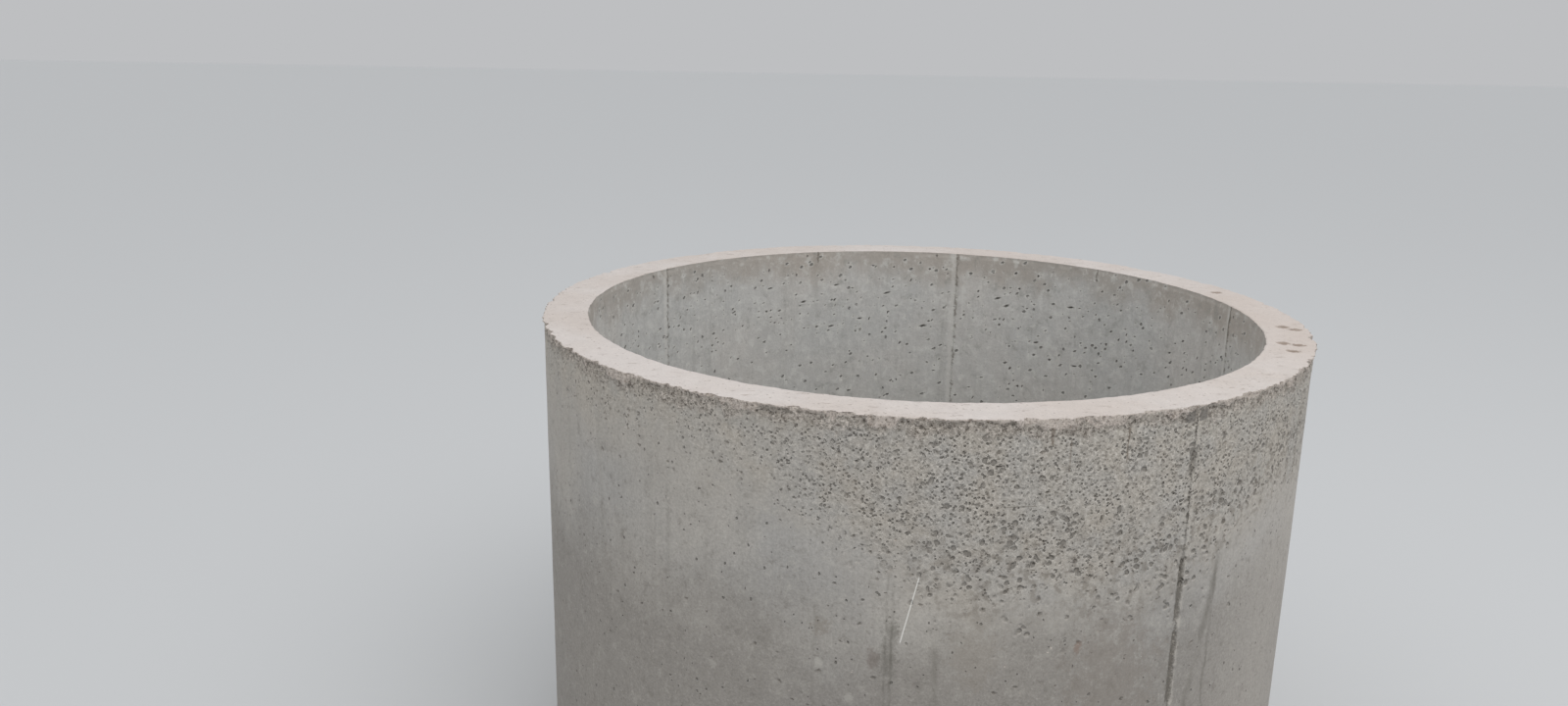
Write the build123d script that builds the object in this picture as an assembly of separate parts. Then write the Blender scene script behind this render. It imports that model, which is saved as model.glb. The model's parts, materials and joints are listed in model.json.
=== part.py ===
"""A precast concrete culvert ring, cast on its end between rolled steel forms.

The ring stands on the level plane z = 0 and its bore runs up the Z axis. It is one casting, so it is one
solid: a plain barrel with a trowelled top rim, an overhanging crust that crumbled at the rim's outer edge,
fins where paste ran into the joints of the forms, and pockets where it leaked out of them.
Lengths are in millimetres and angles in degrees, measured from +X towards +Y.
"""
from build123d import *
import os
from math import ceil, cos, pi, radians, sin

# The barrel.
bore_diameter = 1200.0
wall = 76.0
height = 900.0
inner_arris = 3.0
foot_arris_outer = 5.0
foot_arris_inner = 3.0

# The crust of mortar that was struck off over the outer form's top edge.
crust_reach = 5.0
crust_thickness = 7.0
crust_undercut = 9.0

# Bites out of the rim's outer edge, and fewer out of the foot's.
rim_bite_pitch = 34.0
rim_bite_radius_small = 9.0
rim_bite_radius_large = 24.0
foot_bite_pitch = 190.0
foot_bite_radius_small = 12.0
foot_bite_radius_large = 26.0

# The joints of the forms: two half shells outside, and five plates with a key gap inside.
outer_joint_first = -61.0
outer_joint_pitch = 180.0
outer_joint_count = 2
inner_joint_first = 5.5
inner_joint_pitch = 70.0
inner_joint_count = 5
outer_fin_width = 9.0
outer_fin_height = 2.4
inner_fin_width = 8.0
inner_fin_height = 1.6
fin_root = 4.0
fin_gap_at_rim = 14.0
fin_gap_at_foot = 12.0

# Pockets along the outer joints. Each pair is the share of the height where its middle lies, and its length.
leak_pockets = [(0.908, 41.0), (0.692, 102.0), (0.555, 118.0), (0.353, 76.0), (0.167, 34.0)]
pocket_width = 6.0
pocket_depth = 4.5
pocket_overrun = 5.0

# A row of bites is uneven. Each range is in radii of the ball that bites, and the steps shuffle them.
# The deepest bite is under half a radius and the highest ball under four fifths, so every bite opens outwards.
rim_bite_depths = (0.15, 0.42)
foot_bite_depths = (0.30, 0.48)
bite_lifts = (0.35, 0.80)
depth_step = 0.618034
size_step = 0.754878
lift_step = 0.569840
wander_share = 0.45
wander_step = 2.3

inner_radius = bore_diameter / 2
outer_radius = inner_radius + wall


def spread(index, step, least, most):
    """A value from least to most. A row of them is even but unordered, and the same on each run."""
    return least + (most - least) * (index * step % 1.0)


def barrel():
    """The turned body, from its half section: foot, outer face, undercut crust, rim and bore."""
    crust_radius = outer_radius + crust_reach
    crust_bottom = height - crust_thickness
    with BuildPart() as turned:
        with BuildSketch(Plane.XZ):
            with BuildLine():
                Polyline(
                    (inner_radius + foot_arris_inner, 0),
                    (outer_radius - foot_arris_outer, 0),
                    (outer_radius, foot_arris_outer),
                    (outer_radius, crust_bottom - crust_undercut),
                    (crust_radius, crust_bottom),
                    (crust_radius, height),
                    (inner_radius + inner_arris, height),
                    (inner_radius, height - inner_arris),
                    (inner_radius, foot_arris_inner),
                    close=True,
                )
            make_face()
        revolve(axis=Axis.Z)
    return turned.part


def bites(edge_radius, edge_height, outward, pitch, radii, depths):
    """Balls that bite into a round edge. Their spacing, size and depth all vary."""
    count = ceil(2 * pi * edge_radius / pitch)
    balls = []
    for index in range(count):
        angle = radians(360 / count * (index + wander_share * sin(wander_step * index)))
        ball = spread(index, size_step, *radii)
        depth = ball * spread(index, depth_step, *depths)
        lift = ball * spread(index, lift_step, *bite_lifts)
        reach = edge_radius - depth + (ball**2 - lift**2) ** 0.5
        place = Pos(reach * cos(angle), reach * sin(angle), edge_height + outward * lift)
        balls.append(place * Sphere(ball))
    return balls


def fin(face_radius, angle, width, proud, outward):
    """A ridge of three sides that stands on a wall, full height but for a gap at each end."""
    root = face_radius - outward * fin_root
    crest = face_radius + outward * proud
    half = width / 2
    length = height - fin_gap_at_rim - fin_gap_at_foot
    spread_root = half * (1 + fin_root / proud)
    with BuildPart() as ridge:
        with BuildSketch(Plane.XY.offset(fin_gap_at_foot)):
            with BuildLine():
                Polyline((root, -spread_root), (crest, 0), (root, spread_root), close=True)
            make_face()
        extrude(amount=length)
    return Rot(0, 0, angle) * ridge.part


def fins():
    """Every fin of the outer and the inner form's joints."""
    ridges = []
    for index in range(outer_joint_count):
        angle = outer_joint_first + index * outer_joint_pitch
        ridges.append(fin(outer_radius, angle, outer_fin_width, outer_fin_height, 1))
    for index in range(inner_joint_count):
        angle = inner_joint_first + index * inner_joint_pitch
        ridges.append(fin(inner_radius, angle, inner_fin_width, inner_fin_height, -1))
    return ridges


def pockets():
    """Round-ended slots along the outer joints, where the paste leaked away and left the wall open."""
    slots = []
    for joint in range(outer_joint_count):
        angle = outer_joint_first + joint * outer_joint_pitch
        for height_share, length in leak_pockets:
            bed = Pos(outer_radius - pocket_depth, 0, height * height_share) * Rot(0, 90, 0)
            slot = extrude(bed * SlotOverall(length, pocket_width), pocket_depth + pocket_overrun)
            slots.append(Rot(0, 0, angle) * slot)
    return slots


def culvert_ring():
    """The whole casting."""
    ring = barrel().fuse(*fins())
    rim_radii = (rim_bite_radius_small, rim_bite_radius_large)
    foot_radii = (foot_bite_radius_small, foot_bite_radius_large)
    rim_bites = bites(outer_radius + crust_reach, height, 1, rim_bite_pitch, rim_radii, rim_bite_depths)
    foot_bites = bites(outer_radius, 0.0, -1, foot_bite_pitch, foot_radii, foot_bite_depths)
    return ring.cut(*pockets(), *rim_bites, *foot_bites)


ring = culvert_ring()
os.makedirs("parts", exist_ok=True)
export_step(ring, "parts/culvert_ring.step")
print("culvert_ring", "solids", len(ring.solids()), "litres", round(ring.volume / 1e6, 2))
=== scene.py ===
# %% [markdown]
# A concrete culvert ring stands on its end, open at the top and the foot. This lesson dresses its CAD solid:
# first the frame and the camera, then one detailed mesh for the casting, then its concrete, and last the floor
# and the light. The ring was cast as one piece between two rolled steel forms, so one mesh stands for it.
# Everything that shows on it is a mark of that casting: a trowelled rim, a crust that crumbled at its edge,
# the joints of the forms, and the small holes that trapped air left in the walls.

# %% Load the frame
import json
from math import atan2, cos, degrees, exp, hypot, pi, radians, sin
from random import Random

import bmesh
import bpy
from mathutils import Matrix, Vector, kdtree, noise


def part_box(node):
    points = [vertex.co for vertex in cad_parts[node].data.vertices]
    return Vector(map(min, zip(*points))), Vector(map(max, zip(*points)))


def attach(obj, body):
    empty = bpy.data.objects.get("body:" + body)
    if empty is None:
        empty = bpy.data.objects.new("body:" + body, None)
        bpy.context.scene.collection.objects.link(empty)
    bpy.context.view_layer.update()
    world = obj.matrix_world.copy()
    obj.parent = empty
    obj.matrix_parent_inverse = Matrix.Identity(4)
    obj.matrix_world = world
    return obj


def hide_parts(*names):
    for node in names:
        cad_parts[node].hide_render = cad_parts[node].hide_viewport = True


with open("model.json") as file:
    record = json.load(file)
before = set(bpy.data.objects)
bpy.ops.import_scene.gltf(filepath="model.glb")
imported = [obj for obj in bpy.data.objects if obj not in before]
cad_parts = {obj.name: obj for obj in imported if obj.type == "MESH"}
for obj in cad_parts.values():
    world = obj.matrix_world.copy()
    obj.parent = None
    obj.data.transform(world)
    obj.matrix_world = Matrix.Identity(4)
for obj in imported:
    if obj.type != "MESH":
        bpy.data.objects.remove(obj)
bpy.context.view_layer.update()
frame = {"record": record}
low_corner, high_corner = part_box("culvert_ring")
print("CAD box", [round(value, 4) for value in (*low_corner, *high_corner)])

# %% [markdown]
# The camera comes first, because every later choice is judged through it. It is placed as a hand-held phone
# was: about 1.4 m above the ring's foot and 2.2 m from its middle, looking a little down, with the picture's
# right side tipped up by one degree. A wide lens gives the rim its strong oval. A lens could be matched by
# eye, but a focal length in pixels turns straight into millimetres on a 36 mm sensor.

# %% Place the camera
picture_width = 1600
focal_pixels = 1259.0
sensor_width = 36.0
camera_place = Vector((-0.2454, -2.2220, 1.3887))
look_down = radians(14.65)
tip = radians(0.99)

camera_data = bpy.data.cameras.new("camera")
camera_data.sensor_fit = "HORIZONTAL"
camera_data.sensor_width = sensor_width
camera_data.lens = sensor_width * focal_pixels / picture_width
camera = bpy.data.objects.new("camera", camera_data)
bpy.context.scene.collection.objects.link(camera)
aim = Matrix.Rotation(pi / 2 - look_down, 4, "X") @ Matrix.Rotation(tip, 4, "Z")
camera.matrix_world = Matrix.Translation(camera_place) @ aim
bpy.context.scene.camera = camera
print("lens", round(camera_data.lens, 2), "mm")

# %% [markdown]
# The sizes come from the frame, so the mesh fits the solid: the bore's radius and the height are in the
# record and the box. The struck-off crust reaches out to the box, and the wall proper lies a few millimetres
# inside it. The angles of the form joints are those of the solid too. They are counted from +X towards +Y.

# %% Sizes of the casting
mounts = {mount["name"]: mount for mount in frame["record"]["mounts"]}
bore_radius = mounts["bore"]["dims"]["r_mm"] / 1000
top = high_corner.z
crust_radius = high_corner.x
crust_reach = 0.005
outer_radius = crust_radius - crust_reach
outer_joints = [radians(-61.0), radians(119.0)]
inner_joints = [radians(5.5 + 70.0 * index) for index in range(5)]
print("bore", bore_radius, "outer", round(outer_radius, 4), "top", round(top, 4))

# %% [markdown]
# The casting is a turned shape, so its half section is drawn once and spun. The section starts as fifteen corner
# points joined in a loop. Each side is then cut into as many rows as its detail needs: long rows on the plain
# lower walls, short ones where pits will crowd, and rows of three millimetres at the ragged rim.

# %% Draw the half section
inner_arris = 0.002
foot_arris = 0.005
band_foot = 0.640
band_top = 0.858
crumble_foot = 0.861
section = [
    (bore_radius + foot_arris, 0.0, 3),
    (outer_radius - foot_arris, 0.0, 2),
    (outer_radius, foot_arris, 15),
    (outer_radius, band_foot, 21),
    (outer_radius, band_top, 0),
    (outer_radius, crumble_foot, 11),
    (crust_radius - 0.001, top - 0.0012, 0),
    (crust_radius - 0.002, top, 3),
    (outer_radius - 0.008, top, 6),
    (bore_radius + 0.010, top, 2),
    (bore_radius + inner_arris, top, 0),
    (bore_radius, top - inner_arris, 3),
    (bore_radius, top - 0.014, 11),
    (bore_radius, 0.700, 16),
    (bore_radius, foot_arris, 1),
]

ring_mesh = bmesh.new()
corners = [ring_mesh.verts.new((radius, 0.0, height)) for radius, height, rows in section]
sides = []
for index, corner in enumerate(corners):
    sides.append(ring_mesh.edges.new((corner, corners[(index + 1) % len(corners)])))
for side, (radius, height, rows) in zip(sides, section):
    if rows:
        bmesh.ops.subdivide_edges(ring_mesh, edges=[side], cuts=rows)
print("section points", len(ring_mesh.verts))

# %% [markdown]
# A full spin closes the ring on itself, so its last step is merged with its first. It can come out inside
# out, so the normals are recalculated, and a positive volume shows that the faces look outwards.

# %% Spin the section round the bore
columns = 360
bmesh.ops.spin(
    ring_mesh,
    geom=ring_mesh.verts[:] + ring_mesh.edges[:],
    cent=(0.0, 0.0, 0.0),
    axis=(0.0, 0.0, 1.0),
    angle=2 * pi,
    steps=columns,
    use_merge=True,
)
bmesh.ops.remove_doubles(ring_mesh, verts=ring_mesh.verts[:], dist=1e-6)
bmesh.ops.recalc_face_normals(ring_mesh, faces=ring_mesh.faces[:])
print("faces", len(ring_mesh.faces), "litres", round(ring_mesh.calc_volume(signed=True) * 1000, 1))

# %% [markdown]
# One degree is 12 mm at the wall, far too coarse for a broken edge. Only the edges that run round the ring
# near the rim's two arrises are divided again, so the plain walls stay light. The columns at the joints of
# the forms get the same treatment from top to bottom.

# %% Divide the mesh where detail will go
level_slack = 1e-5


def runs_round(edge):
    """True for an edge that lies on a circle about the bore, rather than up or across the wall."""
    first, second = (end.co for end in edge.verts)
    same_height = abs(first.z - second.z) < level_slack
    return same_height and abs(first.xy.length - second.xy.length) < level_slack


def at_broken_edge(point):
    """True near the crumbling outer arris of the rim."""
    return point.z > crumble_foot - level_slack and point.xy.length > outer_radius - 0.0085


def at_crisp_edge(point):
    """True near the inner arris of the rim."""
    return point.z > top - 0.0145 and point.xy.length < bore_radius + 0.0105


def turn_from(point, angle):
    """The angle from a joint to a point, from -pi to pi."""
    return (atan2(point.y, point.x) - angle + pi) % (2 * pi) - pi


def near_joint(point, most_degrees):
    """True within so many degrees of a joint of the form on this point's wall."""
    wall_joints = outer_joints if point.xy.length > (bore_radius + outer_radius) / 2 else inner_joints
    return any(abs(turn_from(point, joint)) < radians(most_degrees) for joint in wall_joints)


def edges_where(bm, test):
    """The edges of which both ends pass the test."""
    return [edge for edge in bm.edges if all(test(end.co) for end in edge.verts)]


broken_edges = [edge for edge in edges_where(ring_mesh, at_broken_edge) if runs_round(edge)]
bmesh.ops.subdivide_edges(ring_mesh, edges=broken_edges, cuts=3)
crisp_edges = [edge for edge in edges_where(ring_mesh, at_crisp_edge) if runs_round(edge)]
bmesh.ops.subdivide_edges(ring_mesh, edges=crisp_edges, cuts=1)
joint_columns = edges_where(ring_mesh, lambda point: near_joint(point, 1.01))
joint_columns = [edge for edge in joint_columns if runs_round(edge) and edge.calc_length() > 0.008]
bmesh.ops.subdivide_edges(ring_mesh, edges=joint_columns, cuts=3)
joint_rows = edges_where(ring_mesh, lambda point: near_joint(point, 0.6) and point.xy.length > outer_radius - 0.001)
joint_rows = [edge for edge in joint_rows if not runs_round(edge) and edge.calc_length() > 0.02]
bmesh.ops.subdivide_edges(ring_mesh, edges=joint_rows, cuts=5, use_grid_fill=True)
print("faces", len(ring_mesh.faces))

# %% [markdown]
# The casting's large forms are now moved into place, one point at a time, by noise that is the same on each
# run. The steel forms were rolled by hand, so the walls wander by about a millimetre. The rim was struck off
# and trowelled, so it dips a little and never rises above the form's top edge. Its outer edge is the part
# that takes care: the mortar that was struck out over the form broke off in bites, and left rough aggregate
# in a shallow recess under what remained.

# %% Noise helpers


def wander(point, size, seed=0.0):
    """Smooth noise from about -1 to 1, whose bumps are about size metres across."""
    return noise.noise(point / size + Vector((seed, 2.7 * seed, -1.9 * seed)))


def rough(point, size, octaves=3, seed=0.0):
    """Noise with finer noise on it, from about -1 to 1."""
    start = point / size + Vector((seed, 2.7 * seed, -1.9 * seed))
    return noise.fractal(start, 0.9, 2.1, octaves)


def ease(value, low, high):
    """0 up to low, 1 from high, and a smooth rise between them."""
    share = min(1.0, max(0.0, (value - low) / (high - low)))
    return share * share * (3 - 2 * share)


# %% Break the rim's outer edge
# How deep each point lies in a pit or recess; the materials turn it into painted shade.
hollow = ring_mesh.verts.layers.float.new("hollow")
crusted = ring_mesh.verts.layers.float.new("crusted")


def crust_at(point):
    """How far the crust stands out beyond the wall at this place on the rim, in metres."""
    round_rim = Vector((point.x, point.y, 0.0))
    broad = wander(round_rim, 0.070, 1.3)
    bite = ease(wander(round_rim, 0.024, 4.1), 0.10, 0.45)
    teeth = wander(round_rim, 0.0095, 7.7) + 0.5 * wander(round_rim, 0.0048, 3.3)
    reach = 0.0022 + 0.0014 * broad - 0.0062 * bite + 0.0042 * teeth
    return min(reach, crust_reach - 0.0003)


def tongue_at(point):
    """How far down the wall the crust hangs at this place on the rim, in metres."""
    round_rim = Vector((point.x, point.y, 0.0))
    hang = ease(wander(round_rim, 0.060, 9.4) + 0.6 * wander(round_rim, 0.015, 0.8), 0.05, 0.55)
    return 0.0045 + 0.0120 * hang + 0.0022 * wander(round_rim, 0.0085, 3.7)


def recess_at(point):
    """How deep the broken aggregate under the crust lies inside the wall, in metres."""
    round_rim = Vector((point.x, point.y, 0.0))
    broken = ease(wander(round_rim, 0.075, 6.6) + 0.5 * wander(round_rim, 0.020, 1.7), -0.35, 0.30)
    foot = top - 0.018 + 0.011 * wander(round_rim, 0.034, 2.2) + 0.004 * wander(round_rim, 0.011, 5.9)
    share = ease(point.z, foot, foot + 0.007) * (0.25 + 0.75 * broken)
    return share * max(0.0, 0.0018 + 0.0034 * rough(point, 0.0095, 2, 3.1))


def break_edge(bm):
    """Moves the points of the rim's outer edge, and of the strip under it."""
    moved = 0
    for vert in bm.verts:
        radius = vert.co.xy.length
        if vert.co.z < crumble_foot - 0.01 or radius < outer_radius - 0.0075:
            continue
        out = Vector((vert.co.x / radius, vert.co.y / radius, 0.0))
        if vert.co.z > top - 0.0015:
            reach = outer_radius + crust_at(vert.co)
            share = ease(radius, outer_radius - 0.008, crust_radius - 0.001)
            vert.co += out * (reach - (crust_radius - 0.001)) * share
            vert[crusted] = 1.0
        else:
            lip_foot = top - tongue_at(vert.co)
            lip = ease(vert.co.z, lip_foot - 0.0025, lip_foot + 0.0025)
            recess = (1 - 0.85 * lip) * recess_at(vert.co)
            crumbs = 0.0011 * rough(vert.co, 0.0070, 2, 8.8) * ease(vert.co.z, crumble_foot, crumble_foot + 0.006)
            # The recess's depth is kept for the painted shade under the crust.
            vert[hollow] = min(0.75, max(0.0, recess / 0.0055))
            vert[crusted] = lip
            proud = min(lip * crust_at(vert.co) - recess + crumbs, crust_reach - 0.0003)
            vert.co += out * (outer_radius + proud - radius)
        moved += 1
    return moved


print("edge points moved", break_edge(ring_mesh))

# %% [markdown]
# The trowel left long shallow dips along the rim, and the walls follow the wander of the forms. The joints
# come next: paste ran into them and stands as a thin fin, and where it leaked right out a pocket is left.

# %% Shape the walls, the rim and the joints
fin_half = 0.0026
outer_fin = 0.0016
inner_fin = 0.0014
pocket_half = 0.0042
pocket_depth = 0.0040
pocket_places = [(0.908, 0.041), (0.692, 0.102), (0.555, 0.118), (0.353, 0.076), (0.167, 0.034)]


def joint_offset(point, radius):
    """What the nearest joint of the form adds to the wall here: a fin outwards, or a pocket inwards."""
    outer = radius > (bore_radius + outer_radius) / 2
    aside = min(abs(turn_from(point, joint)) for joint in (outer_joints if outer else inner_joints)) * radius
    if aside > 0.02 or point.z > top - 0.014 or point.z < 0.012:
        return 0.0
    ragged = 0.75 + 0.9 * wander(point, 0.012, 5.5)
    ridge = exp(-((aside / fin_half) ** 2)) * ragged
    if not outer:
        return -inner_fin * ridge
    pocket = 0.0
    for share, length in pocket_places:
        along = abs(point.z - share * top) - length / 2
        pocket = max(pocket, 1 - ease(along, -0.006, 0.004))
    opened = pocket * (1 - ease(aside, 0.4 * pocket_half, 1.2 * pocket_half)) * ragged
    return outer_fin * ridge * (1 - pocket) - pocket_depth * opened


def shape_walls(bm):
    """Moves every wall and rim point by the wander of the forms, the trowel and the joints."""
    for vert in bm.verts:
        radius = vert.co.xy.length
        out = Vector((vert.co.x / radius, vert.co.y / radius, 0.0))
        on_rim = vert.co.z > top - 0.0016
        on_wall = abs(radius - bore_radius) < 0.001 or abs(radius - outer_radius) < 0.008
        if on_rim:
            dip = 0.0008 + 0.0007 * wander(vert.co, 0.055, 8.2) + 0.0004 * wander(vert.co, 0.011, 9.1)
            vert.co.z -= max(0.0, dip)
        elif on_wall and vert.co.z < top - 0.014:
            flat = 0.0009 * wander(vert.co, 0.24, 6.3) + 0.0003 * wander(vert.co, 0.05, 6.9)
            vert.co += out * (flat + joint_offset(vert.co, radius))
        if radius < bore_radius + 0.004 and vert.co.z > top - 0.010:
            worn = wander(vert.co, 0.014, 3.9) + 0.6 * wander(vert.co, 0.040, 5.2)
            vert.co += out * (0.0006 + 0.0017 * worn)


shape_walls(ring_mesh)
widest = max(vert.co.xy.length for vert in ring_mesh.verts)
print("widest", round(widest, 4), "of", round(crust_radius, 4))

# %% [markdown]
# Trapped air leaves bug holes in both walls, and the top of the outer wall is pocked by hundreds of them.
# Holes could be cut with booleans, which is slow and leaves slivers, or painted as bump alone, which shows as
# flat up close. Here a face is poked, its new point is bevelled into a small patch of four faces, the patch's
# eight outer points are set on an uneven oval, and its middle is pushed in. The walls keep their few faces.
# Each point also carries a number for how deep it lies, which the materials turn into painted shade in the pits
# and recesses, and on the bore into a painted highlight at the pits' mouths.

# %% Dig pits
draw = Random(20)


def finder_of(points):
    """A search tree over points, which finds the number of the nearest one."""
    tree = kdtree.KDTree(len(points))
    for index, point in enumerate(points):
        tree.insert(point, index)
    tree.balance()
    return tree


def face_axes(face):
    """Two ways along a face: level round the ring, and up the wall. On the rim they are X and Y."""
    across = Vector((0.0, 0.0, 1.0)).cross(face.normal)
    across = across.normalized() if across.length > 0.1 else Vector((1.0, 0.0, 0.0))
    return across, face.normal.cross(across)


def plan_pit(face, spot, size_range, stretch_range, turn_range, rarity):
    """A pit's middle, axes, size, stretch and turn. It lies inside its face, and near the spot if there is one."""
    centre = face.calc_center_median()
    ways = face_axes(face)
    longer = draw.uniform(*stretch_range)
    turn = draw.uniform(*turn_range)
    wide = 1.2 * hypot(longer * cos(turn), sin(turn) / longer)
    high = 1.2 * hypot(longer * sin(turn), cos(turn) / longer)
    size = size_range[0] + (size_range[1] - size_range[0]) * draw.random() ** rarity
    rooms = [0.94 * max(abs((corner.co - centre).dot(way)) for corner in face.verts) for way in ways]
    size = min(size, rooms[0] / wide, rooms[1] / high)
    middle = centre.copy()
    for way, room, reach in zip(ways, rooms, (wide, high)):
        slack = room - size * reach
        wanted = (spot - centre).dot(way) if spot else draw.uniform(-1.0, 1.0) * slack
        middle += way * max(-slack, min(slack, wanted))
    return middle, (*ways, face.normal.copy()), size, longer, turn


def dig(bm, faces, size_range, depth_share, stretch_range, turn_range, rarity=2.2, spots=None):
    """Digs one pit in each face. Sizes are radii in metres, and depth is a share of the radius."""
    centres = finder_of([face.calc_center_median() for face in faces])
    plans = []
    for face, spot in zip(faces, spots or [None] * len(faces)):
        plans.append(plan_pit(face, spot, size_range, stretch_range, turn_range, rarity))
    poked = bmesh.ops.poke(bm, faces=faces)["verts"]
    for vert in poked:
        vert.co = plans[centres.find(vert.co)[1]][0]
    sites = finder_of([plan[0] for plan in plans])
    made = bmesh.ops.bevel(
        bm,
        geom=poked,
        offset=size_range[0],
        offset_type="OFFSET",
        segments=2,
        profile=0.5,
        affect="VERTICES",
        material=-1,
        clamp_overlap=True,
    )
    patch = set(made["faces"])
    hearts = [vert for vert in made["verts"] if all(face in patch for face in vert.link_faces)]
    hearts.sort(key=lambda vert: sites.find(vert.co)[1])
    count = 0
    for vert in hearts:
        middle, (across, up, normal), size, longer, turn = plans[sites.find(vert.co)[1]]
        mouth = {other for face in vert.link_faces for other in face.verts if other != vert}
        spokes = []
        for other in mouth:
            away = other.co - vert.co
            spokes.append((atan2(away.dot(up), away.dot(across)), other))
        spokes.sort(key=lambda spoke: spoke[0])
        even = 2 * pi / len(spokes)
        start = sum(bearing - even * index for index, (bearing, other) in enumerate(spokes)) / len(spokes)
        for index, (bearing, other) in enumerate(spokes):
            bearing = start + even * (index + draw.uniform(-0.2, 0.2)) - turn
            reach = size * draw.uniform(0.78, 1.2)
            flat = Vector((cos(bearing) * longer, sin(bearing) / longer)) * reach
            place = across * (flat.x * cos(turn) - flat.y * sin(turn))
            place += up * (flat.x * sin(turn) + flat.y * cos(turn))
            other.co = vert.co + place
            # The mouth and the bottom of each pit carry their depth for the painted shade.
            other[hollow] = 0.25
        vert.co -= normal * size * depth_share * draw.uniform(0.7, 1.3)
        vert[hollow] = 1.0
        count += 1
    return count


whole_faces = [face for face in ring_mesh.faces if len(face.verts) == 4]


def open_faces(bm, test):
    """The four-sided faces that nothing was dug into and at which test is true, always in the same order."""
    return [face for face in whole_faces if face.is_valid and test(face.calc_center_median(), face.normal)]


def on_outer_wall(point, normal):
    """True for a face of the outer wall, away from its joints."""
    outwards = normal.x * point.x + normal.y * point.y > 0.3 * point.xy.length
    return outwards and not near_joint(point, 1.01)


def on_inner_wall(point, normal):
    """True for a face of the bore, away from its joints."""
    inwards = normal.x * point.x + normal.y * point.y < -0.3 * point.xy.length
    return inwards and not near_joint(point, 1.01)


def on_rim(point, normal):
    """True for a face of the rim that lies well inside its edges."""
    return normal.z > 0.9 and bore_radius + 0.012 < point.xy.length < outer_radius - 0.009


# %% [markdown]
# The largest marks are placed one by one. On the rim the trowel tore the drying mortar and left shallow
# troughs one or two centimetres long. In the bore the form was drawn off sideways, which smeared its larger
# air holes into slanted slots. Such marks are larger than a face, so a block of faces is dissolved into one
# for each of them before it is dug like a pit. This comes before the many small pits, while every face is
# still whole.

# %% Dig the largest marks
rim_tears = [(0.6396, -9.8), (0.6573, -11.4), (0.6286, -21.3), (0.6513, -21.6), (0.6457, -26.0), (0.6378, 16.7)]
bore_slots = [(82.4, 0.724), (103.1, 0.722), (96.7, 0.739), (109.7, 0.780), (90.7, 0.800), (49.8, 0.808),
              (57.0, 0.714), (66.2, 0.806), (102.2, 0.822), (47.8, 0.672), (64.1, 0.791), (117.7, 0.821)]
upper_holes = [(-87.7, 0.670), (-70.6, 0.847), (-76.9, 0.830), (-104.6, 0.652)]
lower_holes = [(-87.2, 0.625), (-114.5, 0.537), (-103.7, 0.562), (-101.5, 0.598), (-111.2, 0.483),
               (-106.3, 0.515), (-99.6, 0.517), (-95.9, 0.571), (-80.4, 0.616), (-82.7, 0.506), (-56.8, 0.612),
               (-63.2, 0.606), (-57.7, 0.529), (-50.8, 0.564), (-75.2, 0.562), (-85.3, 0.498)]


def polar(radius, degrees_round, height):
    """The point at this radius, angle and height."""
    return Vector((radius * cos(radians(degrees_round)), radius * sin(radians(degrees_round)), height))


def merge_faces(bm, test, spots, half_wide, half_high):
    """Dissolves a block of faces at each spot into one face. Returns those faces and their spots."""
    whole = open_faces(bm, test)
    merged = []
    for spot in spots:
        block = []
        for face in whole:
            if face.is_valid:
                gap = face.calc_center_median() - spot
                across, up = face_axes(face)
                if gap.length < 0.05 and abs(gap.dot(across)) < half_wide and abs(gap.dot(up)) < half_high:
                    block.append(face)
        made = bmesh.ops.dissolve_faces(bm, faces=block, use_verts=True)["region"] if len(block) > 1 else block
        merged += [(face, spot) for face in made[:1]]
    return [face for face, spot in merged], [spot for face, spot in merged]


rim_spots = [polar(radius, angle, top) for radius, angle in rim_tears]
torn_faces, torn_spots = merge_faces(ring_mesh, on_rim, rim_spots, 0.014, 0.0085)
tear_count = dig(ring_mesh, torn_faces, (0.0050, 0.0062), 0.9, (1.5, 1.8), (-0.15, 0.15), 2.2, torn_spots)
slot_spots = [polar(bore_radius, *place) for place in bore_slots]
slot_faces, slot_spots = merge_faces(ring_mesh, on_inner_wall, slot_spots, 0.0155, 0.0078)
slot_count = dig(ring_mesh, slot_faces, (0.0044, 0.0064), 0.7, (1.5, 2.1), (0.1, 0.5), 1.0, slot_spots)
hole_count = 0
for holes, half_high in ((upper_holes, 0.0099), (lower_holes, 0.0200)):
    hole_spots = [polar(outer_radius, *place) for place in holes]
    hole_faces, hole_spots = merge_faces(ring_mesh, on_outer_wall, hole_spots, 0.0118, half_high)
    hole_count += dig(ring_mesh, hole_faces, (0.0028, 0.0050), 0.9, (0.9, 1.5), (-0.6, 0.6), 1.0, hole_spots)
print("rim tears", tear_count, "bore slots", slot_count, "large holes", hole_count)

# %% [markdown]
# The pocked band hangs from the rim like a curtain. It hangs lowest at the front, where its edge comes down to
# two thirds of the height, and it fades out there. Below it, and on the inner wall, the holes are few and lie
# anywhere.

# %% Choose where the small pits go
band_high = 0.80
band_drops = ((-0.42, 0.06, -0.18), (0.22, 0.55, 0.10))


def band_edge(point):
    """The height of the pocked band's lower edge at this side of the ring."""
    drop = sum(amount * ease(point.x, start, end) for start, end, amount in band_drops)
    return band_high + drop + 0.02 * wander(Vector((point.x, point.y, 0.0)), 0.1, 2.8)


def pocked_share(point):
    """How likely a face of the band is to hold a pit."""
    inside = ease(point.z, band_edge(point) - 0.06, band_edge(point) + 0.11)
    clump = 0.5 + 0.9 * wander(point, 0.07, 1.9)
    return inside * min(0.95, max(0.15, clump))


band = open_faces(ring_mesh, lambda p, n: band_foot < p.z < band_top and on_outer_wall(p, n))
band = [face for face in band if draw.random() < 0.78 * pocked_share(face.calc_center_median())]
print("band pits", dig(ring_mesh, band, (0.0014, 0.0042), 0.9, (0.9, 1.5), (-0.6, 0.6)))

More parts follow.
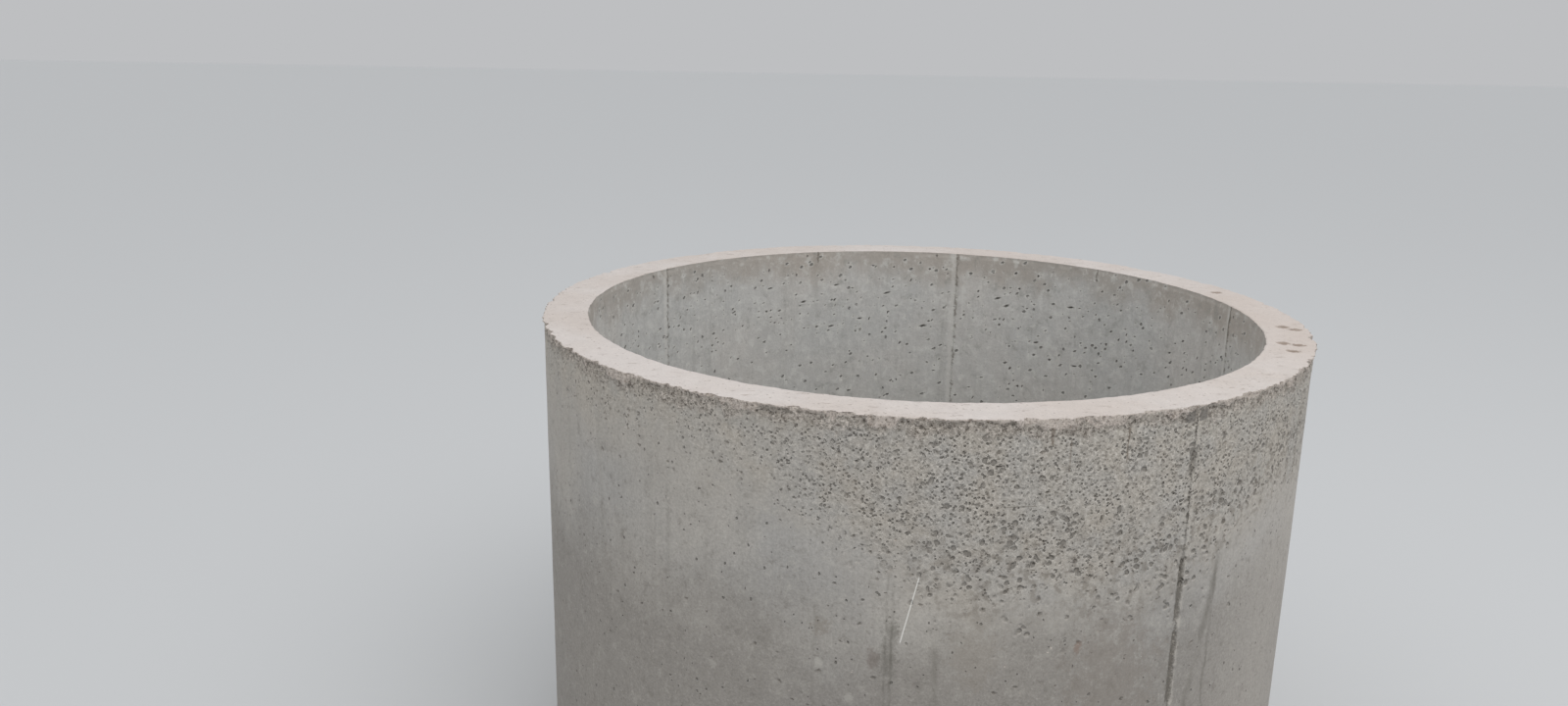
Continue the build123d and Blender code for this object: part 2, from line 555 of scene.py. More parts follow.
below = open_faces(ring_mesh, lambda p, n: 0.04 < p.z < band_top and on_outer_wall(p, n))
below = [face for face in below if face.calc_area() > 0.00013 and draw.random() < 0.10]
print("wall pits", dig(ring_mesh, below, (0.0012, 0.0040), 0.8, (0.9, 1.6), (-0.5, 0.5), 2.0))

inside = open_faces(ring_mesh, lambda p, n: 0.04 < p.z < 0.87 and on_inner_wall(p, n))
inside = [face for face in inside if draw.random() < (0.17 if face.calc_center_median().z > 0.5 else 0.06)]
print("bore pits", dig(ring_mesh, inside, (0.0014, 0.0050), 0.8, (1.0, 2.0), (0.1, 1.2), 2.2))

# %% [markdown]
# The foot's edge was knocked when the ring was tilted off its bed. The solid has round bites there, at
# uneven steps round the edge, and the same rule places them here. The mesh is divided again only around each
# bite, and the points inside it are pushed out to its surface, with a little noise for the broken grains.

# %% Chip the foot's edge
chip_pitch = 0.190
chip_sizes = (0.012, 0.026)
chip_depths = (0.30, 0.48)
chip_lifts = (0.35, 0.80)


def shuffled(index, stride, least, most):
    """A value from least to most. A row of them is even but unordered."""
    return least + (most - least) * (index * stride % 1.0)


def foot_bites():
    """The middle and radius of each round bite out of the foot's outer edge."""
    count = int(2 * pi * outer_radius / chip_pitch) + 1
    bites = []
    for index in range(count):
        angle = 2 * pi / count * (index + 0.45 * sin(2.3 * index))
        size = shuffled(index, 0.754878, *chip_sizes)
        depth = size * shuffled(index, 0.618034, *chip_depths)
        lift = size * shuffled(index, 0.569840, *chip_lifts)
        reach = outer_radius - depth + (size**2 - lift**2) ** 0.5
        bites.append((Vector((reach * cos(angle), reach * sin(angle), -lift)), size))
    return bites


def chip_foot(bm):
    """Divides the mesh round each bite of the foot's edge and pushes its points out of the bite."""
    pushed = 0
    for middle, size in foot_bites():
        near = {vert for vert in bm.verts if vert.co.z < 0.05 and (vert.co - middle).length < size + 0.012}
        edges = [edge for edge in bm.edges if edge.verts[0] in near and edge.verts[1] in near]
        bmesh.ops.subdivide_edges(bm, edges=edges, cuts=3, use_grid_fill=True)
        for vert in bm.verts:
            gap = vert.co - middle
            if vert.co.z < 0.05 and gap.length < size:
                vert.co = middle + gap.normalized() * (size + 0.0012 * wander(vert.co, 0.006, 4.4))
                vert.co.z = max(0.0, vert.co.z)
                # The chips carry a little depth for painted shade.
                vert[hollow] = 0.35
                pushed += 1
    return pushed


print("foot chip points", chip_foot(ring_mesh))

# %% [markdown]
# Edges that turn sharply, as at the rim, the broken crust and each pit, are marked sharp, so that light
# breaks there. The rest is shaded smooth. The mesh then becomes an object at the origin that rides on the
# ring's one body and stands for its CAD node.

# %% Make the ring an object
sharp_turn = radians(32.0)


def finish_mesh(bm, name):
    """Turns a bmesh into an object of the object's body, with sharp edges marked by their angle."""
    for face in bm.faces:
        face.smooth = True
    for edge in bm.edges:
        edge.smooth = edge.calc_face_angle(0.0) < sharp_turn
    open_edges = sum(1 for edge in bm.edges if len(edge.link_faces) != 2)
    triangles = sum(len(face.verts) - 2 for face in bm.faces)
    mesh = bpy.data.meshes.new(name)
    bm.to_mesh(mesh)
    bm.free()
    piece = bpy.data.objects.new(name, mesh)
    bpy.context.scene.collection.objects.link(piece)
    print(name, "triangles", triangles, "open edges", open_edges)
    return piece


ring = finish_mesh(ring_mesh, "cast_ring")
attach(ring, "root")
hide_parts("culvert_ring")

# %% [markdown]
# Shader maths reads best as plain arithmetic. This small class wraps a node's socket, so that an expression
# such as 1 - mask * 0.5 adds its Math nodes by itself. Every other node comes from its one method, which
# takes the node's type, its settings and its sockets. Colours never go through it: they are mixed.

# %% A socket that can be reckoned with


class Flow:
    """An output socket of a material's node tree."""

    def __init__(self, tree, socket):
        self.tree = tree
        self.socket = socket

    def node(self, kind, settings=None, sockets=None, output=0):
        """Adds a node, with its settings first and then its sockets' values or links."""
        new = self.tree.nodes.new(kind)
        for name, value in (settings or {}).items():
            if name == "stops":
                for place, colour in value[2:]:
                    new.color_ramp.elements.new(place)
                for element, (place, colour) in zip(new.color_ramp.elements, value):
                    element.position = place
                    element.color = colour
            else:
                setattr(new, name, value)
        for name, value in (sockets or {}).items():
            if isinstance(value, Flow):
                self.tree.links.new(value.socket, new.inputs[name])
            else:
                new.inputs[name].default_value = value
        return Flow(self.tree, new.outputs[output])

    def maths(self, operation, *values):
        return self.node("ShaderNodeMath", {"operation": operation}, dict(enumerate(values)))

    def __add__(self, other):
        return self.maths("ADD", self, other)

    __radd__ = __add__

    def __sub__(self, other):
        return self.maths("SUBTRACT", self, other)

    def __rsub__(self, other):
        return self.maths("SUBTRACT", other, self)

    def __mul__(self, other):
        return self.maths("MULTIPLY", self, other)

    __rmul__ = __mul__

    def __truediv__(self, other):
        return self.maths("DIVIDE", self, other)

    def __pow__(self, other):
        return self.maths("POWER", self, other)


# %% Helpers for patterns and colours


def paint(red, green, blue):
    """A colour as a screen shows it, from 0 to 255, in the linear values that a shader takes."""
    linear = [((value / 255 + 0.055) / 1.055) ** 2.4 for value in (red, green, blue)]
    return (*linear, 1.0)


def step(value, low, high):
    """0 below low and 1 above high, with a smooth rise. With high below low it falls instead."""
    if high < low:
        return 1 - step(value, high, low)
    return value.node(
        "ShaderNodeMapRange",
        {"interpolation_type": "SMOOTHSTEP"},
        {"Value": value, "From Min": low, "From Max": high},
    )


def cloud(place, size, detail=2.0, roughness=0.5):
    """Noise from 0 to 1, with patches about size metres across."""
    sockets = {"Vector": place, "Scale": 1 / size, "Detail": detail, "Roughness": roughness}
    return place.node("ShaderNodeTexNoise", {}, sockets)


def cells(place, size, feature="F1", output=0):
    """Cells about size metres across: the distance to the nearest middle, or another output."""
    return place.node("ShaderNodeTexVoronoi", {"feature": feature}, {"Vector": place, "Scale": 1 / size}, output)


def warp(place, size, amount):
    """The same place pushed about by noise, so that a pattern loses its even shapes."""
    swirl = place.node("ShaderNodeTexNoise", {}, {"Vector": place, "Scale": 1 / size, "Detail": 2.0}, 1)
    push = {0: swirl, 1: (amount, amount, amount), 2: place}
    return place.node("ShaderNodeVectorMath", {"operation": "MULTIPLY_ADD"}, push)


def stretch(place, x, y, z):
    """The same place with each axis scaled, so that a pattern is drawn out along it."""
    return place.node("ShaderNodeVectorMath", {"operation": "MULTIPLY"}, {0: place, 1: (x, y, z)})


def moved(place, x, y, z):
    """The same place read from elsewhere, so that a pattern shows again, moved the other way."""
    return place.node("ShaderNodeVectorMath", {"operation": "ADD"}, {0: place, 1: (x, y, z)})


def attribute(place, name):
    """A number that the mesh carries at its points."""
    return place.node("ShaderNodeAttribute", {"attribute_name": name}, {}, 2)


def either(first, second):
    """The greater of two masks."""
    return first.maths("MAXIMUM", first, second)


def size_of(value):
    """A value without its sign."""
    return value.maths("ABSOLUTE", value)


def blend(share, first, second):
    """The first colour where share is 0, and the second where it is 1."""
    return share.node("ShaderNodeMix", {"data_type": "RGBA"}, {0: share, 6: first, 7: second}, 2)


def shade(colour, factor, amount):
    """A colour made darker or lighter by a pattern about 0.5, by up to amount each way."""
    level = 1 + (factor - 0.5) * (2 * amount)
    grey = level.node("ShaderNodeCombineColor", {}, {0: level, 1: level, 2: level})
    settings = {"data_type": "RGBA", "blend_type": "MULTIPLY"}
    return level.node("ShaderNodeMix", settings, {0: 1.0, 6: colour, 7: grey}, 2)


def bump(height, strength, distance, under=None):
    """Relief whose height runs from 0 to 1 and stands for distance metres."""
    sockets = {"Height": height, "Strength": strength, "Distance": distance}
    if under:
        sockets["Normal"] = under
    return height.node("ShaderNodeBump", {}, sockets)


def start_material(name):
    """A new material, with its shader and the Object coordinates, as one value and as x, y and z."""
    material = bpy.data.materials.new(name)
    material.use_nodes = True
    tree = material.node_tree
    shader = tree.nodes["Principled BSDF"]
    root = Flow(tree, None)
    place = root.node("ShaderNodeTexCoord", {}, {}, 3)
    split = [place.node("ShaderNodeSeparateXYZ", {}, {0: place}, axis) for axis in range(3)]
    return material, shader, place, split


def finish_material(shader, colour, rough, relief, gloss=0.35):
    """Feeds the shader what varies, and sets its gloss."""
    tree = colour.tree
    tree.links.new(colour.socket, shader.inputs["Base Color"])
    tree.links.new(rough.socket, shader.inputs["Roughness"])
    tree.links.new(relief.socket, shader.inputs["Normal"])
    shader.inputs["Specular IOR Level"].default_value = gloss


# %% [markdown]
# The rim is where the mortar was struck off and left to dry in the open. It is the palest and warmest part,
# close-grained and dusty, with faint tears that the trowel pulled.

# %% The trowelled rim


def rim_finish():
    """The rim: pale and warm mortar with trowel tears, darker at the right."""
    material, shader, place, (x, y, z) = start_material("trowelled_rim")
    broad = cloud(place, 0.16, 3.0)
    middle = cloud(place, 0.022, 3.0)
    grain = cloud(place, 0.0030, 2.0, 0.7)
    colour = blend(step(broad, 0.35, 0.65), paint(204, 194, 187), paint(210, 202, 197))
    colour = shade(colour, middle, 0.08)
    colour = shade(colour, grain, 0.15)
    strokes = cloud(stretch(warp(place, 0.03, 0.010), 0.35, 1.0, 1.0), 0.011, 3.0, 0.75)
    torn = step(strokes, 0.60, 0.72)
    colour = blend(torn * 0.55, colour, paint(160, 145, 134))
    specks = step(cells(warp(place, 0.010, 0.008), 0.011), 0.17, 0.09)
    colour = blend(specks * 0.55, colour, paint(138, 126, 116))
    colour = blend(step(x, 0.46, 0.64) * step(y, 0.30, 0.10) * 0.35, colour, paint(196, 180, 168))
    # Painted shade: darker ovals at the trowel tears stand in for the shade down in their troughs.
    ragged = (cloud(place, 0.0075, 3.0, 0.7) - 0.5) * 5.0
    for radius, angle in rim_tears:
        middle_of_tear = polar(radius, angle, top)
        along = (x - middle_of_tear.x) / 0.0105
        across = (y - middle_of_tear.y) / 0.0105
        tear = step(along * along + across * across + ragged, 1.5, 0.5)
        colour = blend(tear * 0.72, colour, paint(132, 112, 96))
    # Painted shade: pits, tears and recesses darken by how deep they lie, a little at their mouths and most at the
    # bottom.
    deep = attribute(place, "hollow")
    colour = blend(step(deep, 0.0, 0.25) * 0.30, colour, paint(186, 174, 164))
    colour = blend(step(deep, 0.22, 0.75) * 0.90, colour, paint(98, 83, 70))
    relief = bump(grain, 0.6, 0.0014)
    relief = bump(middle, 0.5, 0.0028, relief)
    relief = bump(1 - torn, 0.6, 0.0016, relief)
    finish_material(shader, colour, 0.88 + grain * 0.08, relief)
    return material


# %% [markdown]
# Both walls were cast against oiled steel, so they share one recipe: mottled grey paste with vertical streaks
# where water ran down the form, fine air holes that are too small for the mesh, and dark pits. The outer
# wall is warmer, and pocked and stained in a band under the rim. The inner wall is cooler and smoother.

# %% What both walls share


def wall_paste(place, cool, warm, dark):
    """The mottled and streaked grey of a formed face, and its streaks."""
    broad = cloud(place, 0.34, 4.0, 0.55)
    middle = cloud(place, 0.045, 4.0, 0.6)
    runs = cloud(stretch(place, 1.0, 1.0, 0.05), 0.030, 4.0, 0.6)
    fine_runs = cloud(stretch(place, 1.0, 1.0, 0.06), 0.007, 2.0, 0.6)
    colour = blend(step(broad, 0.36, 0.64), cool, warm)
    colour = blend(step(runs, 0.52, 0.78) * 0.50, colour, dark)
    colour = shade(colour, middle, 0.12)
    colour = shade(colour, fine_runs, 0.08)
    return colour, middle, runs


def air_holes(place, spacing, share):
    """Small uneven holes, on average one in each share of the cells that are spacing metres apart."""
    loose = stretch(warp(place, 0.009, 0.007), 1.0, 1.0, 0.8)
    near = step(cells(loose, spacing), 0.115, 0.060)
    pick = cells(loose, spacing, "F1", 1)
    level = pick.node("ShaderNodeSeparateColor", {}, {0: pick}, 0)
    return near * step(level, 1 - share - 0.02, 1 - share + 0.02)


def joint_line(x, y, angle, both_sides=False):
    """The distance of a point, along the wall, from the upright line at this angle, in metres."""
    aside = y * cos(angle) - x * sin(angle)
    if both_sides:
        return aside
    front = step(x * cos(angle) + y * sin(angle), 0.0, 0.01)
    return aside + (1 - front) * 10.0


def thin_line(aside, half_width, softness=0.6):
    """1 on a line and 0 beside it."""
    return step(size_of(aside), half_width * (1 + softness), half_width * (1 - softness))


def spot_at(x, y, z, angle, height, half_wide, half_high, wobble):
    """1 on an uneven oval at this angle and height of the wall, and 0 away from it."""
    aside = joint_line(x, y, radians(angle)) / half_wide
    above = (z - height) / half_high
    return step(aside * aside + above * above + wobble, 1.8, 0.2)


# %% [markdown]
# The outer wall's band is a mass of small pits, each with a painted highlight on its lower lip. The same pattern
# is read twice: once in place, for the pits, and once from two millimetres higher, which paints that highlight
# under each. Sandy grit fills the ground between them, and coarser soft hollows lie along the band's foot.

# %% The outer wall's pits


def pocks_of(place, depth, x):
    """The small and the coarse pits of the band. Depth is the height above the band's lower edge."""
    dense = step(depth, -0.080, 0.130) * 0.28
    patches = 0.50 + 0.50 * step(cloud(place, 0.050, 3.0, 0.6), 0.42, 0.58)
    small = step(cells(warp(place, 0.010, 0.006), 0.0052), 0.42, 0.20) * patches
    small = small * step(cloud(place, 0.013, 2.0, 0.6) + dense, 0.68, 0.82)
    coarse = step(cells(warp(place, 0.016, 0.011), 0.0125), 0.42, 0.18) * step(x, -0.20, 0.0)
    sparse = step(depth, 0.070, 0.150) * 0.20
    coarse = coarse * step(cloud(place, 0.034, 2.0, 0.6) + dense - sparse, 0.58, 0.72)
    return either(small, coarse) * step(depth, -0.095, -0.040)


def band_depth(place, x, z):
    """The height above the pocked band's lower edge, by the same rule as the mesh's pits."""
    uneven = (cloud(stretch(place, 1.0, 1.0, 0.0), 0.10, 3.0) - 0.5) * 0.09
    depth = z - band_high + uneven
    for start, end, amount in band_drops:
        depth = depth - step(x, start, end) * amount
    return depth


# %% [markdown]
# Single marks come last, because they lie over everything else: the joint of the form with its leaks, lines
# and runs of slurry that show where a plate was welded, a rust spot and chips, and one fresh scratch.
# Each is a soft mask made from a point's distance to a line or a spot on the wall.

# %% The outer wall
brown_streaks = ((-70.8, 0.856, 0.028, 0.0011), (-80.4, 0.874, 0.014, 0.0022), (-78.1, 0.846, 0.027, 0.0014))
dark_runs = ((-54.6, 0.0, 0.690, 0.0050, 0.50), (-55.9, 0.18, 0.680, 0.0110, 0.50), (-92.5, 0.0, 0.600, 0.0100, 0.40),
             (-98.1, 0.0, 0.670, 0.0140, 0.30), (-72.5, 0.0, 0.560, 0.0040, 0.30), (-107.0, 0.0, 0.640, 0.0040, 0.20))
stains = ((-106.1, 0.582, 0.013, 0.013, (126, 116, 104), 0.38), (-99.7, 0.545, 0.008, 0.018, (120, 109, 102), 0.45),
          (-98.0, 0.560, 0.011, 0.045, (108, 105, 97), 0.40), (-113.0, 0.545, 0.011, 0.026, (122, 117, 110), 0.24),
          (-75.2, 0.561, 0.006, 0.008, (132, 108, 94), 0.60), (-106.4, 0.526, 0.006, 0.007, (192, 188, 180), 0.40),
          (-120.5, 0.486, 0.006, 0.007, (184, 180, 172), 0.40), (-102.5, 0.479, 0.007, 0.008, (186, 182, 174), 0.40),
          (-70.0, 0.500, 0.070, 0.090, (138, 130, 122), 0.45), (-88.0, 0.560, 0.030, 0.050, (146, 138, 128), 0.35))


def outer_finish():
    """The outer wall: mottled paste, a pocked band, a crumbled strip under the rim, a joint and single marks."""
    material, shader, place, (x, y, z) = start_material("outer_wall")
    colour, middle, runs = wall_paste(place, paint(166, 163, 159), paint(171, 166, 159), paint(145, 141, 134))
    grain = cloud(place, 0.0035, 2.0, 0.7)
    # Painted shade: the wall darkens towards the bottom under an uneven edge, and its pale dabs fade there.
    lower_shade = step(z + (cloud(place, 0.16, 3.0) - 0.5) * 0.30, 0.70, 0.50)
    colour = blend(lower_shade * 0.80, colour, paint(139, 134, 128))
    # Painted light: the right side of the wall is lighter, as the light falls on it from that side.
    colour = blend(step(x, 0.32, 0.54) * 0.45, colour, paint(181, 175, 168))
    dabs = cloud(place, 0.020, 4.0, 0.7)
    colour = blend(step(dabs, 0.53, 0.68) * (0.36 - lower_shade * 0.12), colour, paint(180, 176, 168))
    colour = blend(step(dabs, 0.45, 0.31) * 0.36, colour, paint(118, 113, 106))
    colour = shade(colour, grain, 0.28)
    sand = cloud(place, 0.0062, 3.0, 0.7)
    colour = blend(step(sand, 0.44, 0.30) * 0.34, colour, paint(116, 110, 102))
    colour = blend(step(sand, 0.56, 0.70) * 0.26, colour, paint(192, 187, 179))
    holes = either(air_holes(place, 0.020, 0.45), air_holes(moved(place, 0.3, 0.1, 0.2), 0.0115, 0.34))
    # Painted highlight: a pale ring just under each small air hole, where light catches its lower lip.
    rings = air_holes(moved(place, 0.0, 0.0, 0.0016), 0.020, 0.45)
    colour = blend(rings * 0.45, colour, paint(190, 187, 180))
    colour = blend(holes * 0.70, colour, paint(96, 92, 85))

    depth = band_depth(place, x, z)
    band = step(depth, -0.055, 0.095)
    high = step(depth + (middle - 0.5) * 0.10, 0.11, 0.22)
    warm = step(cloud(place, 0.06, 3.0, 0.6), 0.35, 0.65)
    colour = blend(band * 0.40, colour, paint(182, 177, 169))
    colour = blend(band * warm * 0.40, colour, paint(182, 171, 156))
    grit = cloud(place, 0.0052, 4.0, 0.75)
    colour = blend(band * step(grit, 0.48, 0.34) * (0.36 + high * 0.26), colour, paint(100, 94, 86))
    colour = blend(band * step(grit, 0.51, 0.63) * (0.46 + high * 0.26), colour, paint(212, 206, 197))
    pocks = pocks_of(place, depth, x)
    # Painted highlight: the lip under each pit is lightened where light catches it.
    lips = pocks_of(moved(place, 0.0, 0.0, 0.0024), depth, x)
    colour = blend(lips * 0.58, colour, paint(208, 202, 193))
    colour = blend(pocks * 0.68, colour, paint(92, 86, 79))
    foot_zone = step(depth, -0.05, 0.03) * step(depth, 0.16, 0.07) * step(x, -0.16, 0.02)
    blotch = step(cloud(place, 0.014, 3.0, 0.65), 0.50, 0.62) * foot_zone
    colour = blend(blotch * 0.45, colour, paint(112, 103, 93))

    crumb = cloud(place, 0.0052, 4.0, 0.8)
    lost = step(z + (cloud(place, 0.026, 3.0) - 0.5) * 0.050, 0.8690, 0.8860)
    colour = blend(lost * 0.60, colour, paint(186, 176, 165))
    colour = blend(lost * step(crumb, 0.47, 0.38) * 0.72, colour, paint(88, 78, 68))
    colour = blend(lost * step(crumb, 0.51, 0.60) * 0.85, colour, paint(226, 216, 206))
    # Painted shade: the darkest patches of the crumbled strip stand in for shade down in its gaps.
    gaps = lost * step(cloud(place, 0.014, 3.0, 0.6), 0.63, 0.69)
    colour = blend(gaps * 0.55, colour, paint(68, 60, 52))
    # Painted shade: the pits, the chips and the recess under the crust darken by how deep they lie.
    deep = attribute(place, "hollow")
    colour = blend(step(deep, 0.25, 0.9) * 0.30, colour, paint(92, 84, 75))
    # The crust is the rim's pale mortar, partly painted light: it is painted paler than the rim so that its sideways
    # face looks as lit as the rim's top. Its brownish crumbs are its own.
    torn_edge = attribute(place, "crusted") + (cloud(place, 0.0090, 4.0, 0.75) - 0.5) * 2.4
    crust = step(torn_edge, 0.42, 0.60)
    colour = blend(crust * 0.74, colour, paint(224, 212, 202))
    colour = blend(crust * step(crumb, 0.48, 0.39) * 0.60, colour, paint(128, 111, 96))

    ragged = (cloud(place, 0.0065, 3.0, 0.75) - 0.5) * 0.0120
    sway = (cloud(place, 0.045, 2.0) - 0.5) * 0.010
    joint = joint_line(x, y, outer_joints[0], True) + ragged + sway * 0.3
    # Painted highlight: a pale strip along one side of the joint's fin. The dark line is the joint's own colour, and
    # in the pockets it is painted shade as well.
    fin_patches = step(cloud(place, 0.009, 3.0, 0.7), 0.42, 0.56)
    colour = blend(thin_line(joint - 0.0050, 0.0045) * fin_patches * 0.50, colour, paint(194, 188, 179))
    line = thin_line(joint, 0.0015) * (0.35 + fin_patches * 0.65)
    for share, length in pocket_places:
        here = step(size_of(z - share * top + ragged * 2), length / 2 + 0.003, length / 2 - 0.006)
        line = either(line, here * thin_line(joint, 0.0046))
    colour = blend(line * 0.75, colour, paint(94, 89, 81))
    colour = blend(line * step(grit, 0.55, 0.65) * 0.65, colour, paint(180, 172, 162))
    for aside, half_wide in ((0.0125, 0.0085), (-0.0125, 0.0075)):
        plug = thin_line(joint + aside, half_wide, 0.12) * thin_line(z - 0.883 + ragged, 0.0080, 0.15)
        colour = blend(plug * 0.85, colour, paint(134, 129, 123))

    patchy = step(cloud(stretch(place, 1.0, 1.0, 0.35), 0.022, 3.0, 0.7), 0.34, 0.60)
    weld = joint_line(x, y, radians(-98.0)) + sway * 0.7 + ragged * 0.4
    pair = thin_line(size_of(weld) - 0.0042, 0.0017, 0.9)
    colour = blend(pair * step(z, 0.70, 0.62) * (0.15 + patchy * 0.50), colour, paint(104, 100, 93))
    for angle, lean, high_end, half_wide, strength in dark_runs:
        run = joint_line(x, y, radians(angle)) - (z - 0.5455) * lean + sway * 1.5 + ragged * 0.8
        wet = step(size_of(run), half_wide, half_wide * 0.1) * step(z, high_end, high_end - 0.07)
        colour = blend(wet * (0.20 + patchy * 0.80) * strength, colour, paint(112, 108, 100))
    for angle, height, half_high, half_wide in brown_streaks:
        streak = joint_line(x, y, radians(angle)) + ragged * 0.5
        streak = thin_line(streak, half_wide) * step(size_of(z - height), half_high, half_high * 0.7)
        colour = blend(streak * (0.35 + patchy * 0.45), colour, paint(108, 94, 80))
    crack = thin_line(z - 0.776 + ragged * 0.3, 0.0007) * step(size_of(joint_line(x, y, radians(-83.8))), 0.027, 0.024)
    colour = blend(crack * 0.55, colour, paint(104, 96, 86))
    wobble = (crumb - 0.5) * 5.0 + (dabs - 0.5) * 7.0
    for angle, height, half_wide, half_high, tint, strength in stains:
        stain = spot_at(x, y, z, angle, height, half_wide, half_high, wobble)
        colour = blend(stain * strength, colour, paint(*tint))
    along = z - 0.6225
    slash = joint_line(x, y, radians(-95.7)) - along * 0.224
    scratch = thin_line(slash, 0.0008) * step(size_of(along), 0.0510, 0.0490)
    colour = blend(scratch * 0.85, colour, paint(230, 228, 222))

    relief = bump(grain, 0.35, 0.0009)
    relief = bump(middle, 0.45, 0.0030, relief)
    relief = bump(dabs, 0.4, 0.0030, relief)
    relief = bump(1 - either(pocks, holes), 1.0, 0.0030, relief)
    relief = bump(grit * band, 0.9, 0.0030, relief)
    relief = bump(crumb * lost, 0.8, 0.0024, relief)
    relief = bump(1 - line, 0.6, 0.0024, relief)
    finish_material(shader, colour, 0.80 + grain * 0.12, relief)
    return material


# %% The inner wall


def slanted_holes(place, x, y, z, spacing, share):
    """Small slots that lean to the right, on the bore's wall laid flat, and how near each point is to one."""
    around = y.maths("ARCTAN2", y, x) * bore_radius
    leaning = place.node("ShaderNodeCombineXYZ", {}, {0: around * 0.75 - z * 0.45, 1: z * 1.2 + around * 0.7, 2: 0.0})
    loose = warp(leaning, 0.008, 0.006)
    pick = cells(loose, spacing, "F1", 1)
    chosen = step(pick.node("ShaderNodeSeparateColor", {}, {0: pick}, 0), 1 - share - 0.02, 1 - share + 0.02)
    near = cells(loose, spacing)
    return step(near, 0.22, 0.12) * chosen, step(near, 0.42, 0.20) * chosen


def inner_finish():
    """The bore's wall: cooler and smoother paste, slanted slots, a soaked strip under the rim and the joints."""
    material, shader, place, (x, y, z) = start_material("inner_wall")
    colour, middle, runs = wall_paste(place, paint(191, 190, 187), paint(199, 195, 190), paint(170, 168, 163))
    grain = cloud(place, 0.0045, 2.0, 0.7)
    colour = shade(colour, grain, 0.20)
    # Painted shade: the bore's wall is darker towards the bottom.
    colour = blend(step(z, 0.68, 0.50) * 0.30, colour, paint(174, 173, 168))

    soak = z + (cloud(place, 0.07, 3.0, 0.6) - 0.5) * 0.14
    colour = blend(step(soak, 0.815, 0.885) * 0.55, colour, paint(160, 148, 136))

    dabs = cloud(place, 0.026, 4.0, 0.7)
    colour = blend(step(dabs, 0.52, 0.66) * 0.50, colour, paint(214, 213, 208))
    colour = blend(step(dabs, 0.45, 0.31) * 0.45, colour, paint(150, 149, 143))
    scuffs = cloud(stretch(place, 1.0, 1.0, 0.5), 0.010, 3.0, 0.7)
    colour = blend(step(scuffs, 0.60, 0.72) * 0.45, colour, paint(216, 214, 208))
    # Painted highlight: a pale ring round each slanted slot.
    slots, lips = slanted_holes(place, x, y, z, 0.021, 0.34)
    colour = blend(lips * 0.40, colour, paint(218, 216, 210))
    colour = blend(slots * 0.75, colour, paint(102, 101, 95))
    holes = air_holes(place, 0.030, 0.50)
    colour = blend(holes * 0.7, colour, paint(104, 103, 98))
    # A painted highlight at the pits' mouths, and painted shade deeper in them, by how deep each point lies.
    deep = attribute(place, "hollow")
    colour = blend(step(deep, 0.02, 0.22) * 0.30, colour, paint(214, 212, 206))
    colour = blend(step(deep, 0.22, 0.80) * 0.88, colour, paint(84, 82, 76))
    lip = step(z, top - 0.0030, top - 0.0014)
    colour = blend(lip, colour, paint(204, 194, 186))

    ragged = (cloud(place, 0.007, 3.0, 0.7) - 0.5) * 0.0065
    broken = step(cloud(place, 0.011, 3.0, 0.7), 0.47, 0.58)
    for index, angle in enumerate(inner_joints):
        line = joint_line(x, y, angle) + ragged
        dark_top = thin_line(line, 0.0022) * step(z, 0.815, 0.835) * (0.75 if index == 0 else 0.30)
        colour = blend(dark_top, colour, paint(110, 102, 92))
        # Painted highlight: a pale strip along one side of the joint's fin.
        colour = blend(thin_line(line - 0.0065, 0.0050) * 0.45, colour, paint(212, 209, 203))
        colour = blend(thin_line(line, 0.0010) * 0.30, colour, paint(136, 132, 125))
        colour = blend(thin_line(line + 0.001, 0.0032) * broken * 0.75, colour, paint(118, 112, 103))
    for angle, low in ((106.5, 0.869), (44.0, 0.865)):
        line = joint_line(x, y, radians(angle)) + ragged * 2
        colour = blend(thin_line(line, 0.0022) * step(z, low, low + 0.010) * 0.7, colour, paint(110, 102, 92))

    relief = bump(grain, 0.3, 0.0008)
    relief = bump(middle, 0.4, 0.0028, relief)
    relief = bump(dabs, 0.5, 0.0036, relief)
    relief = bump(1 - either(holes, slots), 0.9, 0.0030, relief)
    finish_material(shader, colour, 0.78 + grain * 0.12, relief)
    return material


# %% [markdown]
# Each face takes the finish of the part of the form that it was cast against. The rim's finish stops at its
# arrises, where the wall's finish goes on with a pale lip of its own, so no hard line shows between them.

# %% Give each face its finish
rim_share = 0.8


def choose_finish(mesh):
    """Sets 0 for the rim, 1 for the outer wall and the foot, and 2 for the bore."""
    middle_radius = (bore_radius + outer_radius) / 2
    for face in mesh.polygons:
        radius = face.center.xy.length
        between = bore_radius + 0.006 < radius < outer_radius - 0.008
        if face.center.z > top - 0.010 and (between or face.normal.z > rim_share):
            face.material_index = 0
        elif radius > middle_radius:
            face.material_index = 1
        else:
            face.material_index = 2


for finish in (rim_finish(), outer_finish(), inner_finish()):
    ring.data.materials.append(finish)
choose_finish(ring.data)
print("finishes", [material.name for material in ring.data.materials])

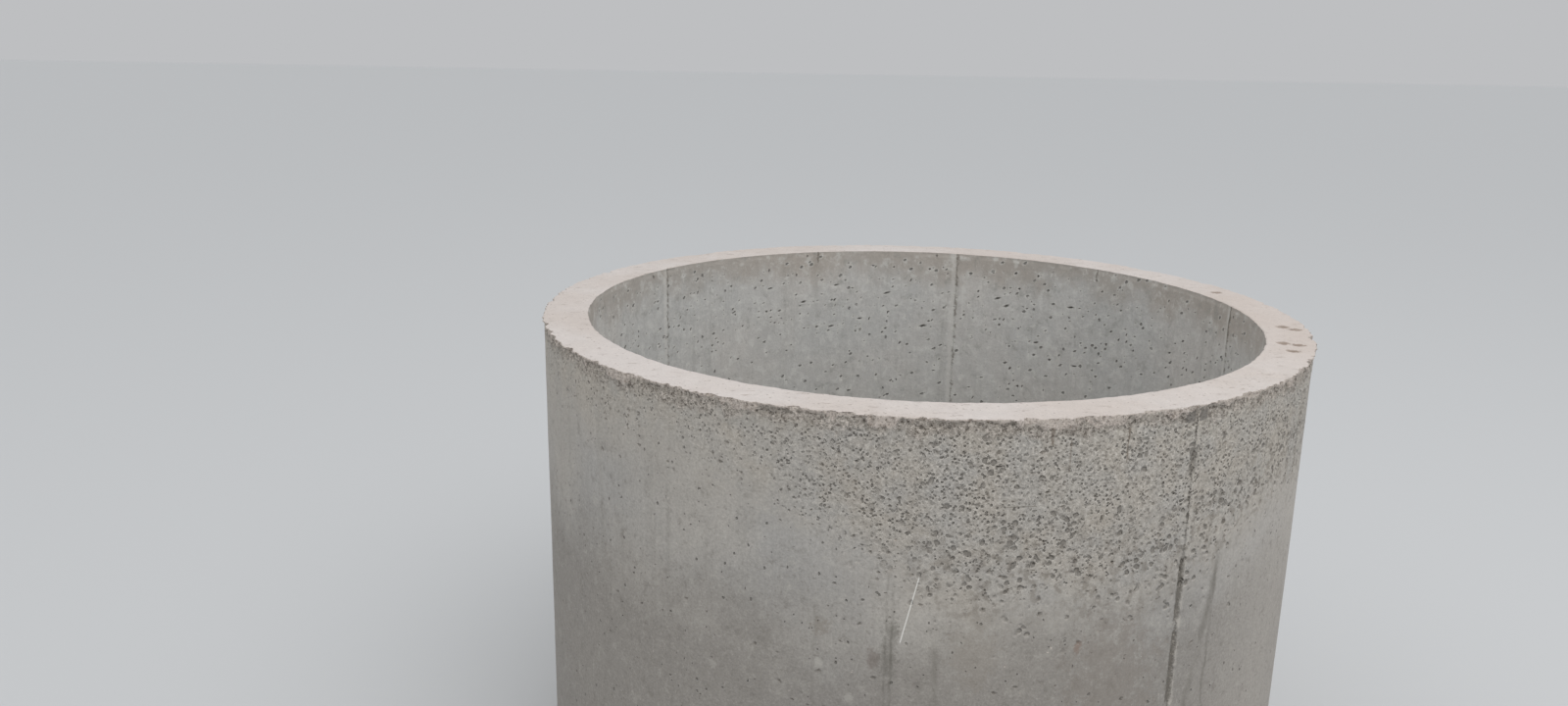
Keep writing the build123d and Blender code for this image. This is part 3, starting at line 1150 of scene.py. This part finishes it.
# %% [markdown]
# The stage is a plain pale floor under a bright overcast sky, as in a studio with one large soft lamp. The
# sky gives most of the light, and the lamp adds a gentle side to it. The backdrop's colour is for the camera
# and for reflections alone, so it can't wash the concrete out.

# %% Floor, sky and lamp
floor_half = 40.0
floor_mesh = bmesh.new()
bmesh.ops.create_grid(floor_mesh, x_segments=1, y_segments=1, size=floor_half)
floor_data = bpy.data.meshes.new("floor")
floor_mesh.to_mesh(floor_data)
floor_mesh.free()
floor = bpy.data.objects.new("floor", floor_data)
bpy.context.scene.collection.objects.link(floor)

floor_material = bpy.data.materials.new("floor")
floor_material.use_nodes = True
floor_shader = floor_material.node_tree.nodes["Principled BSDF"]
floor_shader.inputs["Base Color"].default_value = paint(206, 207, 208)
floor_shader.inputs["Roughness"].default_value = 0.9
floor_shader.inputs["Specular IOR Level"].default_value = 0.2
floor_data.materials.append(floor_material)

world = bpy.data.worlds.new("sky")
bpy.context.scene.world = world
world.use_nodes = True
world_tree = world.node_tree
sky = world_tree.nodes["Background"]
sky.inputs["Color"].default_value = (0.97, 0.985, 1.0, 1.0)
sky.inputs["Strength"].default_value = 0.82
backdrop = Flow(world_tree, sky.outputs[0]).node("ShaderNodeBackground", {}, {"Color": paint(190, 191, 193)})
ray_names = ("Is Camera Ray", "Is Glossy Ray", "Is Transmission Ray")
rays = [backdrop.node("ShaderNodeLightPath", {}, {}, name) for name in ray_names]
seen = either(either(rays[0], rays[1]), rays[2])
joined = seen.node("ShaderNodeMixShader", {}, {0: seen, 1: Flow(world_tree, sky.outputs[0]), 2: backdrop})
world_tree.links.new(joined.socket, world_tree.nodes["World Output"].inputs["Surface"])

lamp_data = bpy.data.lights.new("soft_lamp", "AREA")
lamp_data.shape = "DISK"
lamp_data.size = 5.0
lamp_data.energy = 110.0
lamp = bpy.data.objects.new("soft_lamp", lamp_data)
bpy.context.scene.collection.objects.link(lamp)
lamp.location = (1.8, -3.2, 5.6)
lamp.rotation_euler = (Vector((0.0, 0.0, 0.5)) - lamp.location).to_track_quat("-Z", "Y").to_euler()

bpy.context.scene.view_settings.view_transform = "Standard"
print("lamp", lamp_data.energy, "sky", sky.inputs["Strength"].default_value)
